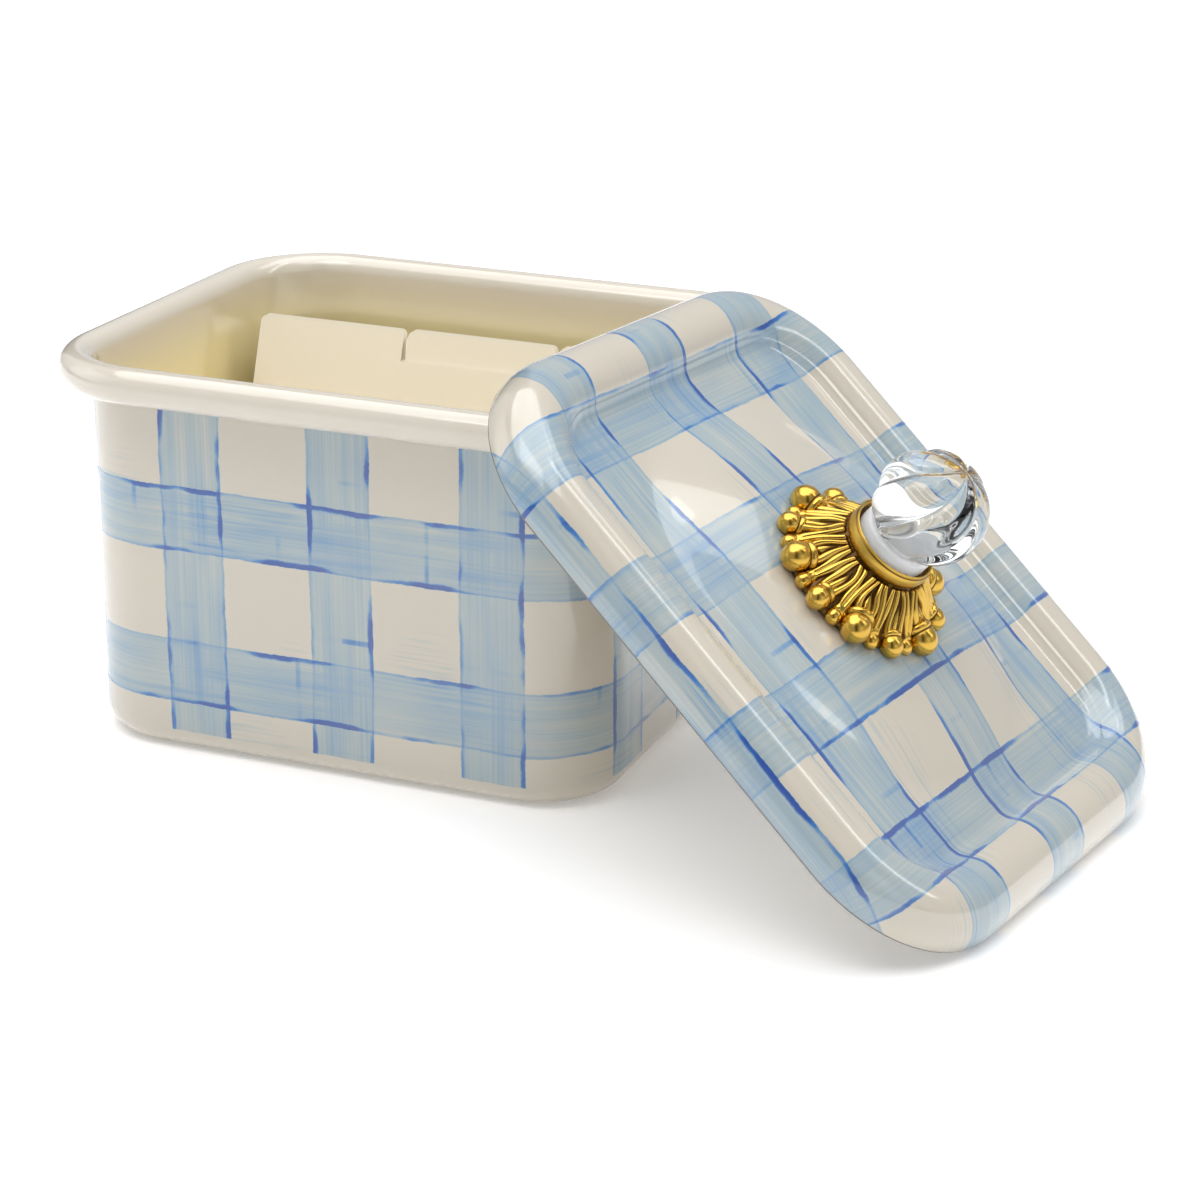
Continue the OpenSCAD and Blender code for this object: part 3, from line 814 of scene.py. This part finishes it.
shells = [rosette_dome()]
for number in range(SECTORS):
    size = LARGE_BEAD if number % 2 == 0 else MIDDLE_BEAD
    shells.append(bead(number * 360 / SECTORS, size, BEAD_RING_R, size * 0.98))
    shells.append(bead((number + 0.5) * 360 / SECTORS, SMALL_BEAD, SMALL_RING_R, SMALL_Z))
rosette_mesh = mesh_of("rosette_cast", *[s[0] for s in shells],
                       depth=np.concatenate([s[1] for s in shells]))
rosette_mesh.materials.append(brass("cast_brass", 0.19))
link(rosette_mesh, "lid", "brass", "rosette")

# %% [markdown]
# ## The collar
# It is turned, so a lathe function carries its profile round the knob's axis. Its side is a barrel of
# satin brass, above it stands a thin lip, and the glass sits inside the lip with a dark gap, where the
# brass of the seat has painted shade, as does the barrel's top under the lip. A pale gasket lies in
# the seat, and the clear glass shows it as a white ring.

# %% Lathe and gasket
LATHE_STEPS = 160


def turned(profile, height, depth):
    """A closed profile of (radius, height) points, carried round the knob's axis."""
    turn = np.radians(np.linspace(0, 360, LATHE_STEPS, endpoint=False))
    r, z = profile[:, :1], profile[:, 1:]
    loops = np.stack([r * np.cos(turn), r * np.sin(turn), z + 0 * turn], -1)
    return join_loops(on_lid(loops, height), ring=True), np.repeat(depth, LATHE_STEPS)


def gasket():
    """Pale rubber, matt and a little cloudy."""
    finish = Finish("pale_gasket", Specular_IOR_Level=0.3)
    place = finish.place()
    finish.feed("Base Color", finish.mix((0.90, 0.90, 0.89), (0.84, 0.84, 0.83),
                                         finish.noise_at(place, 300.0, 3.0)))
    finish.feed("Roughness", 0.45 + 0.2 * finish.noise_at(place, 800.0))
    return finish.material


print("profiles can be turned in", LATHE_STEPS, "steps")

# %% Collar
COLLAR_H, BARREL_H = 4.4 * MM, 3.5 * MM
BARREL_SWELL, LIP_EDGE_R = 0.45 * MM, 0.25 * MM
LIP_R, SEAT_R, SEAT_D, GASKET_R = 12.9 * MM, 12.4 * MM, 2 * MM, 11 * MM
# Painted shade on the barrel's last rows, under the lip.
SHADE_UNDER_LIP = [0.6, 0.9, 0.9]

barrel_z = np.linspace(0, BARREL_H, 27)
barrel = COLLAR_R - BARREL_SWELL * (2 * barrel_z / BARREL_H - 1) ** 2
lip_round = arc((LIP_R - LIP_EDGE_R, COLLAR_H - LIP_EDGE_R), LIP_EDGE_R, 0, 180, 8)
seat_z = COLLAR_H - SEAT_D
seat = np.array([[SEAT_R, seat_z], [GASKET_R, seat_z], [HOLE_R, seat_z], [HOLE_R, 0],
                 [COLLAR_R - MM, 0]])
collar_profile = np.vstack([np.column_stack([barrel, barrel_z]), [LIP_R, BARREL_H], lip_round, seat])
# Painted shade on the brass, row by row: none on the barrel, more under the lip, a little on the lip,
# and full in the seat and the bore.
collar_shade = np.concatenate([np.zeros(len(barrel) - 2), SHADE_UNDER_LIP, np.full(len(lip_round), 0.1),
                               np.ones(len(seat))])
collar_shell, collar_shade_values = turned(collar_profile, rosette_z + ROSETTE_H, collar_shade)
collar_mesh = mesh_of("collar", collar_shell, depth=collar_shade_values)
collar_mesh.materials.append(brass("turned_brass", 0.3))
collar_mesh.materials.append(gasket())
gasket_row = len(collar_profile) - len(seat) + 1
collar_mesh.polygons.foreach_set("material_index", np.repeat(
    np.arange(len(collar_profile)) == gasket_row, LATHE_STEPS).astype(np.int32))
link(collar_mesh, "lid", "brass", "knob_collar")

# %% [markdown]
# ## The glass knob
# Pressed glass, polished by fire: a round foot, a short neck and a bulb of broad lobes that swirl
# round it like the petals of a bud. Across a lobe the surface is a smooth arch, and two arches meet
# in a sharp groove. The grooves turn as they climb and close over the top.

# %% Glass
GLASS_R, GLASS_H = 16.3 * MM, 32 * MM
GLASS_FOOT_R, GLASS_FOOT_H = 11.2 * MM, 4.6 * MM
LOBES, GROOVE, SWIRL = 6, 2.8 * MM, 60
GROOVE_RISE, LAST_ROW = np.radians([18, 89.2])
GLASS_COLUMNS, GLASS_ROWS = 320, 120
GLASS_SEAT = rosette_z + ROSETTE_H + COLLAR_H - SEAT_D


def glass_rows():
    """(radius, height, groove depth): the foot with its rounded edges, and the bulb, which is an
    ellipse above its widest place and another below it, down to the neck."""
    foot = np.vstack([[[0.4 * GLASS_FOOT_R, 0.0], [0.9 * GLASS_FOOT_R, 0.0]],
                      arc((GLASS_FOOT_R - 0.35 * MM, 0.35 * MM), 0.35 * MM, -90, 0, 5),
                      arc((GLASS_FOOT_R - 0.8 * MM, GLASS_FOOT_H - 0.8 * MM), 0.8 * MM, 0, 80, 8)])
    mid_z = 0.52 * GLASS_H
    neck_r, neck_z = GLASS_FOOT_R - 0.6 * MM, GLASS_FOOT_H + 0.9 * MM
    low = -np.arccos(neck_r / GLASS_R)
    lift = np.linspace(low, LAST_ROW, GLASS_ROWS)
    below = (mid_z - neck_z) / -np.sin(low)
    height = mid_z + np.sin(lift) * np.where(lift < 0, below, GLASS_H - mid_z)
    start = np.clip((lift - low) / GROOVE_RISE, 0, 1)
    groove = GROOVE * start * np.sqrt(np.cos(lift))
    bulb = np.column_stack([GLASS_R * np.cos(lift), height, groove])
    return np.vstack([np.column_stack([foot, np.zeros(len(foot))]), bulb])


def glass_loops():
    """radius - groove * (1 - |sin|) squared, where the sine runs once over each lobe."""
    r, z, groove = glass_rows().T[:, :, None]
    turn = np.linspace(0, 2 * np.pi, GLASS_COLUMNS, endpoint=False)
    swirl = np.radians(SWIRL) * z / GLASS_H
    cusp = (1 - np.abs(np.sin(LOBES * (turn - swirl) / 2))) ** 2
    radius = r - groove * cusp
    return np.stack([radius * np.cos(turn), radius * np.sin(turn), z + 0 * turn], -1)


def clear_glass():
    """Glass with a very slight wave, so that its gloss isn't that of plastic."""
    finish = Finish("clear_glass", Transmission_Weight=1.0, IOR=1.5)
    place = finish.place()
    finish.feed("Base Color", finish.mix((0.985, 0.995, 0.99), (0.96, 0.98, 0.985),
                                         finish.noise_at(place, 80.0)))
    finish.feed("Roughness", 0.004 + 0.012 * finish.noise_at(place, 120.0))
    finish.relief(finish.noise_at(place, 110.0, 1.0), 0.05 * MM)
    return finish.material


def ground_glass():
    """The foot's side and underside are ground, so they scatter white."""
    finish = Finish("ground_glass", Transmission_Weight=0.45, IOR=1.5)
    place = finish.place()
    finish.feed("Base Color", finish.mix((0.97, 0.97, 0.97), (0.92, 0.92, 0.93),
                                         finish.noise_at(place, 250.0, 2.0)))
    finish.feed("Roughness", 0.25 + 0.15 * finish.noise_at(place, 700.0))
    return finish.material


glass_mesh = mesh_of("glass", join_loops(on_lid(glass_loops(), GLASS_SEAT)))
glass_mesh.materials.append(clear_glass())
glass_mesh.materials.append(ground_glass())
foot_faces = (len(glass_rows()) - GLASS_ROWS) * GLASS_COLUMNS
glass_faces = np.arange(len(glass_mesh.polygons))
first_fan = (len(glass_rows()) - 1) * GLASS_COLUMNS
is_ground = (glass_faces < foot_faces) | (
    (glass_faces >= first_fan) & (glass_faces < first_fan + GLASS_COLUMNS))
glass_mesh.polygons.foreach_set("material_index", is_ground.astype(np.int32))
link(glass_mesh, "lid", "knob_glass", "glass_knob")

# %% [markdown]
# ## Screw and washer
# The frame's own screw and washer are right as they are, and sit under the panel where only a
# lifted lid shows them. They only get a finish: zinc plate, cloudy and with a fine tooth.

# %% Plated steel
def plated(name):
    """Zinc plate: grey, a little cloudy, with a fine tooth."""
    finish = Finish(name, Metallic=1.0)
    place = finish.place()
    cloud = finish.noise_at(place, 500.0, 3.0)
    finish.feed("Base Color", finish.mix((0.62, 0.62, 0.60), (0.46, 0.46, 0.47), cloud))
    finish.feed("Roughness", 0.25 + 0.25 * cloud)
    finish.relief(finish.noise_at(place, 2500.0, 1.0), 0.02 * MM)
    return finish.material


steel = plated("zinc_plate")
for node in ("knob_screw", "knob_washer"):
    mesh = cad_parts[node].data
    mesh.materials.clear()
    mesh.materials.append(steel)
    print(node, "is plated")

# %% [markdown]
# ## Cards and dividers
# Board is never quite flat. All the sheets share one gentle bow, so they stay clear of each other,
# and each card of the pack has its own small slip sideways and up, as after use. A sheet is a grid of
# columns along the card and rows up it. The top of a column follows the tab where there is one.

# %% Sheets of board
CARD_L, CARD_H, CARD_CORNER_R = 152.4 * MM, 101.6 * MM, 2.2 * MM
TAB_H, TAB_GAP = 9.5 * MM, 0.8 * MM
CARD_LEAN = np.radians(19.5)
CARD_X = 2.5 * MM
TAB_L = CARD_L / 3 - TAB_GAP
TAB_STEP = 0.02 * MM
BOW = 0.9 * MM
ROWS_UP, COLUMNS = 20, 44


def rounded_end(x, low, high, radius):
    """How far the outline drops near the ends of a stretch: radius - sqrt(radius^2 - d^2)."""
    d = np.clip(np.maximum(low + radius - x, x - high + radius), 0, radius)
    return radius - np.sqrt(radius ** 2 - d ** 2)


def columns_of(places):
    """Column positions: even along the card and dense in each round end."""
    dense = CARD_CORNER_R * (1 - np.cos(np.linspace(0, np.pi / 2, 9)))
    ends = [edge + sign * dense for edge, sign in places]
    even = np.linspace(-CARD_L / 2, CARD_L / 2, COLUMNS)
    return np.unique(np.round(np.concatenate([even, *ends]), 7))


def board(place, thickness):
    """A sheet in its own plane: x along the card, height up it, depth through it. place is 0, 1
    or 2 for a left, centre or right tab, and None for a plain card. The bow is a parabola along
    the card, times a sine that grows and fades up it."""
    half = CARD_L / 2
    places = [(-half, 1), (half, -1)]
    if place is not None:
        middle_x = (place - 1) * (CARD_L - TAB_L) / 2
        tab_low, tab_high = middle_x - TAB_L / 2, middle_x + TAB_L / 2
        places += [(tab_low, 1), (tab_high, -1), (tab_low - TAB_STEP, -1), (tab_high + TAB_STEP, 1)]
    x = columns_of([p for p in places if abs(p[0]) <= half])
    top = CARD_H - rounded_end(x, -half, half, CARD_CORNER_R)
    if place is not None:
        on_tab = (x > tab_low - TAB_STEP / 4) & (x < tab_high + TAB_STEP / 4)
        tab_top = CARD_H + TAB_H - rounded_end(x, tab_low, tab_high, CARD_CORNER_R)
        top = np.where(on_tab, tab_top, top)
    bottom = rounded_end(x, -half, half, CARD_CORNER_R)
    rise = np.linspace(0, 1, ROWS_UP)[:, None]
    height = bottom + (top - bottom) * rise
    share_up = np.clip(height / (CARD_H + TAB_H), 0, 1)
    bow = BOW * (1 - (x / half) ** 2) * np.sin(np.pi * share_up * 0.7)
    front = np.stack([x + 0 * height, height, bow], -1)
    back = front + [0, 0, thickness]
    return np.concatenate([front, back[:, ::-1]], axis=1)


def stand(loops, foot, lean):
    """Stands a sheet on its foot and leans it back: up is (0, sin lean, cos lean)."""
    up = np.array([0, np.sin(lean), np.cos(lean)])
    through = np.array([0, np.cos(lean), -np.sin(lean)])
    return foot + loops[..., :1] * [1, 0, 0] + loops[..., 1:2] * up + loops[..., 2:] * through


print("cards of", [round(x / MM, 1) for x in (CARD_L, CARD_H)], "mm, tabs of", round(TAB_L / MM, 1))

# %% [markdown]
# The grid's rows are closed loops, out along the front of the board and home along its back, and
# `join_loops` closes the first and last of them. There the fan would cross the tab's step, so the
# sheet's own function closes its ends with a strip of quads between front and back.

# %% Closed sheets
def closed_sheet(loops):
    """Quads round the loops, and a strip over the first and the last of them."""
    rows, columns = loops.shape[:2]
    points, quads, _, corners, _ = join_loops(loops, ring=False)
    points = points[:-2]
    index = np.arange(rows * columns).reshape(rows, columns)
    half = columns // 2
    strips = []
    for row, turn_over in ((0, 1), (-1, -1)):
        front, back = index[row, :half], index[row, half:][::-1]
        strip = np.column_stack([front[:-1], back[:-1], back[1:], front[1:]])
        strips.append(strip[:, ::turn_over])
    quads = quads if enclosed(points, quads) > 0 else quads[:, ::-1]
    strips = np.vstack(strips)
    return (points, np.vstack([quads, strips]), np.zeros((0, 3), int),
            np.vstack([corners, np.zeros((len(strips), 4, 2))]), np.zeros((0, 3, 2)))


print("a plain sheet has", len(closed_sheet(board(None, MM))[1]), "faces")

# %% Card stock
def stock(name, light, dark, grain):
    """Matt board: soft clouds in its colour, short fibres, and a slight tooth."""
    finish = Finish(name, Sheen_Weight=0.1, Specular_IOR_Level=0.3)
    place = finish.place()
    x, y, z = finish.parts(place)
    cloud = finish.noise_at(place, 30.0, 3.0)
    fibre = finish.noise(x * 500, y * 4000, z * 1500, 3.0, 0.7)
    finish.feed("Base Color", finish.mix(light, dark, 0.45 * cloud + grain * fibre))
    finish.feed("Roughness", 0.62 + 0.2 * fibre)
    finish.relief(fibre, 0.02 * MM)
    return finish.material


divider_stock = stock("divider_board", (0.93, 0.87, 0.75), (0.85, 0.78, 0.64), 0.25)
card_stock = stock("card_paper", (0.93, 0.88, 0.78), (0.86, 0.80, 0.67), 0.2)
print("two kinds of board:", divider_stock.name, "and", card_stock.name)

# %% Dividers
DIVIDERS = ["divider_left_front", "divider_centre_front", "divider_right_front",
            "divider_left_back", "divider_centre_back", "divider_right_back"]
DIVIDER_T = 0.45 * MM


def foot_of(node, thickness):
    """The front foot line of a leaning sheet, from its box: the lowest y and the lowest z."""
    low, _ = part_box(node)
    return np.array([CARD_X, low.y, low.z + thickness * np.sin(CARD_LEAN)])


for number, node in enumerate(DIVIDERS):
    sheet = stand(board(number % 3, DIVIDER_T), foot_of(node, DIVIDER_T), CARD_LEAN)
    mesh = mesh_of(node.replace("divider", "guide"), closed_sheet(sheet))
    mesh.materials.append(divider_stock)
    mesh.polygons.foreach_set("use_smooth", np.zeros(len(mesh.polygons), bool))
    link(mesh, node, "divider_stock", node)

# %% Recipe cards
CARD_T, CARD_AIR, CARD_COUNT = 0.4 * MM, 0.14 * MM, 36
CARD_PITCH = (CARD_T + CARD_AIR) / np.cos(CARD_LEAN)

draw = np.random.default_rng(7)
pack_foot = foot_of("recipe_cards", CARD_T)
cards = []
for number in range(CARD_COUNT):
    slip = np.array([draw.uniform(-0.5, 0.5), 0, draw.uniform(0, 0.5)]) * MM
    foot = pack_foot + [0, number * CARD_PITCH, 0] + slip
    cards.append(closed_sheet(stand(board(None, CARD_T), foot, CARD_LEAN)))
card_mesh = mesh_of("cards", *cards)
card_mesh.materials.append(card_stock)
card_mesh.polygons.foreach_set("use_smooth", np.zeros(len(card_mesh.polygons), bool))
link(card_mesh, "cards", "card_stock", "recipe_cards")

# %% [markdown]
# ## Table and light
# The table is a wide pale floor. It glows a little, and more so far from the box, so that it stays
# white to its end while the box keeps its shadow. Six soft boxes give the light. The broad one
# overhead gives most of it. A tall strip to the right draws the long highlight down the lid's
# border, a small window behind shines in the panel, and weak ones to the front, left and right open
# the shadows. The sky is pale too, because gloss shows what surrounds it.

# %% Table
NEAR_FLOOR, FAR_FLOOR = 0.8, 3.0
NEAR_GLOW, FAR_GLOW = (0.21, 0.21, 0.21), (0.62, 0.62, 0.62)
REACH = 6.0


def add_floor():
    """A wide square at height 0, with a very slight mottle."""
    mesh = bpy.data.meshes.new("floor")
    mesh.from_pydata([(-REACH, -REACH, 0), (REACH, -REACH, 0), (REACH, REACH, 0), (-REACH, REACH, 0)],
                     [], [(0, 1, 2, 3)])
    floor = bpy.data.objects.new("floor", mesh)
    bpy.context.scene.collection.objects.link(floor)
    finish = Finish("floor", Roughness=0.6, Specular_IOR_Level=0.2, Emission_Strength=1.0)
    x, y, _ = finish.parts(finish.place())
    away = (x * x + y * y).maths("SQRT").rise(NEAR_FLOOR, FAR_FLOOR)
    finish.feed("Emission Color", finish.mix(NEAR_GLOW, FAR_GLOW, away))
    finish.feed("Base Color", finish.mix((0.95, 0.95, 0.95), (0.92, 0.92, 0.92),
                                         finish.noise_at(finish.place(), 2.0)))
    mesh.materials.append(finish.material)


add_floor()
print("the floor is laid,", round(2 * REACH), "m wide")

# %% Light
LIGHT_AIM = np.array([80, 0, 50]) * MM


def soft_box(name, direction, distance, size, power):
    """A rectangular light that faces the box from a direction."""
    data = bpy.data.lights.new(name, "AREA")
    data.shape, data.size, data.size_y = "RECTANGLE", *size
    data.energy = power
    light = bpy.data.objects.new(name, data)
    place = Vector(LIGHT_AIM + distance * unit(direction))
    light.matrix_world = Matrix.Translation(place) @ Vector(unit(direction)).to_track_quat(
        "Z", "Y").to_matrix().to_4x4()
    bpy.context.scene.collection.objects.link(light)


soft_box("strip_right", (0.69, 0.18, 0.70), 1.6, (0.2, 1.5), 3.5)
soft_box("overhead", (-0.1, 0, 1.0), 1.9, (2.2, 2.2), 37)
soft_box("window", (0.42, 0.47, 0.78), 1.8, (0.5, 0.5), 1.5)
soft_box("front_top", (-0.2, -0.6, 1.2), 1.9, (1.0, 0.8), 5.5)
soft_box("left", (-1.0, -0.25, 0.5), 2.0, (1.6, 1.2), 6)
soft_box("right", (1.0, -0.35, 0.3), 2.2, (1.4, 0.9), 2)

# %% [markdown]
# Clear glass and polished brass show only what stands round them, so the pale sky has some dark
# cards in it, as a photographer puts beside glass. Each is a band of directions round the box. With
# a as the card's azimuth, the band is where a level direction's part across a is small. The camera
# itself looks past them: its own rays see a plain backdrop, so the cards show in gloss and glass only.

# %% Sky
DARK_CARDS = [(-62, 0.09), (24, 0.16), (82, 0.07), (222, 0.12), (264, 0.08)]
CARD_SOFTNESS, CARD_DARKNESS, DARKEST = 0.06, 0.94, 0.03
SKY, SKY_STRENGTH = (0.95, 0.97, 1.0), 0.50
BACKDROP = (2.0, 2.0, 2.0)


def sky():
    """A pale world with dark bands at some azimuths, up to about 70 degrees, and a backdrop."""
    world = bpy.data.worlds.new("studio")
    world.use_nodes = True
    finish = Sums(world.node_tree, "Background")
    x, y, z = finish.parts(finish.node("ShaderNodeTexCoord", out="Generated"))
    light = 1.0
    for azimuth, half_width in DARK_CARDS:
        a = np.radians(azimuth)
        across = (x * float(np.cos(a)) + y * float(np.sin(a))).maths("ABSOLUTE")
        towards = x * float(np.sin(a)) - y * float(np.cos(a))
        card = (1 - across.rise(half_width, half_width + CARD_SOFTNESS)) * towards.rise(0.3, 0.4)
        light = light - card * CARD_DARKNESS
    light = light.maths("MAXIMUM", DARKEST)
    seen = finish.node("ShaderNodeLightPath", out="Is Camera Ray")
    cards = finish.mix((0, 0, 0), SKY, light)
    finish.feed("Color", finish.mix(cards, BACKDROP, seen))
    finish.shader.inputs["Strength"].default_value = SKY_STRENGTH
    return world


world = sky()
bpy.context.scene.world = world
bpy.context.scene.view_settings.view_transform = "Standard"
print(len(bpy.data.lights), "lights")
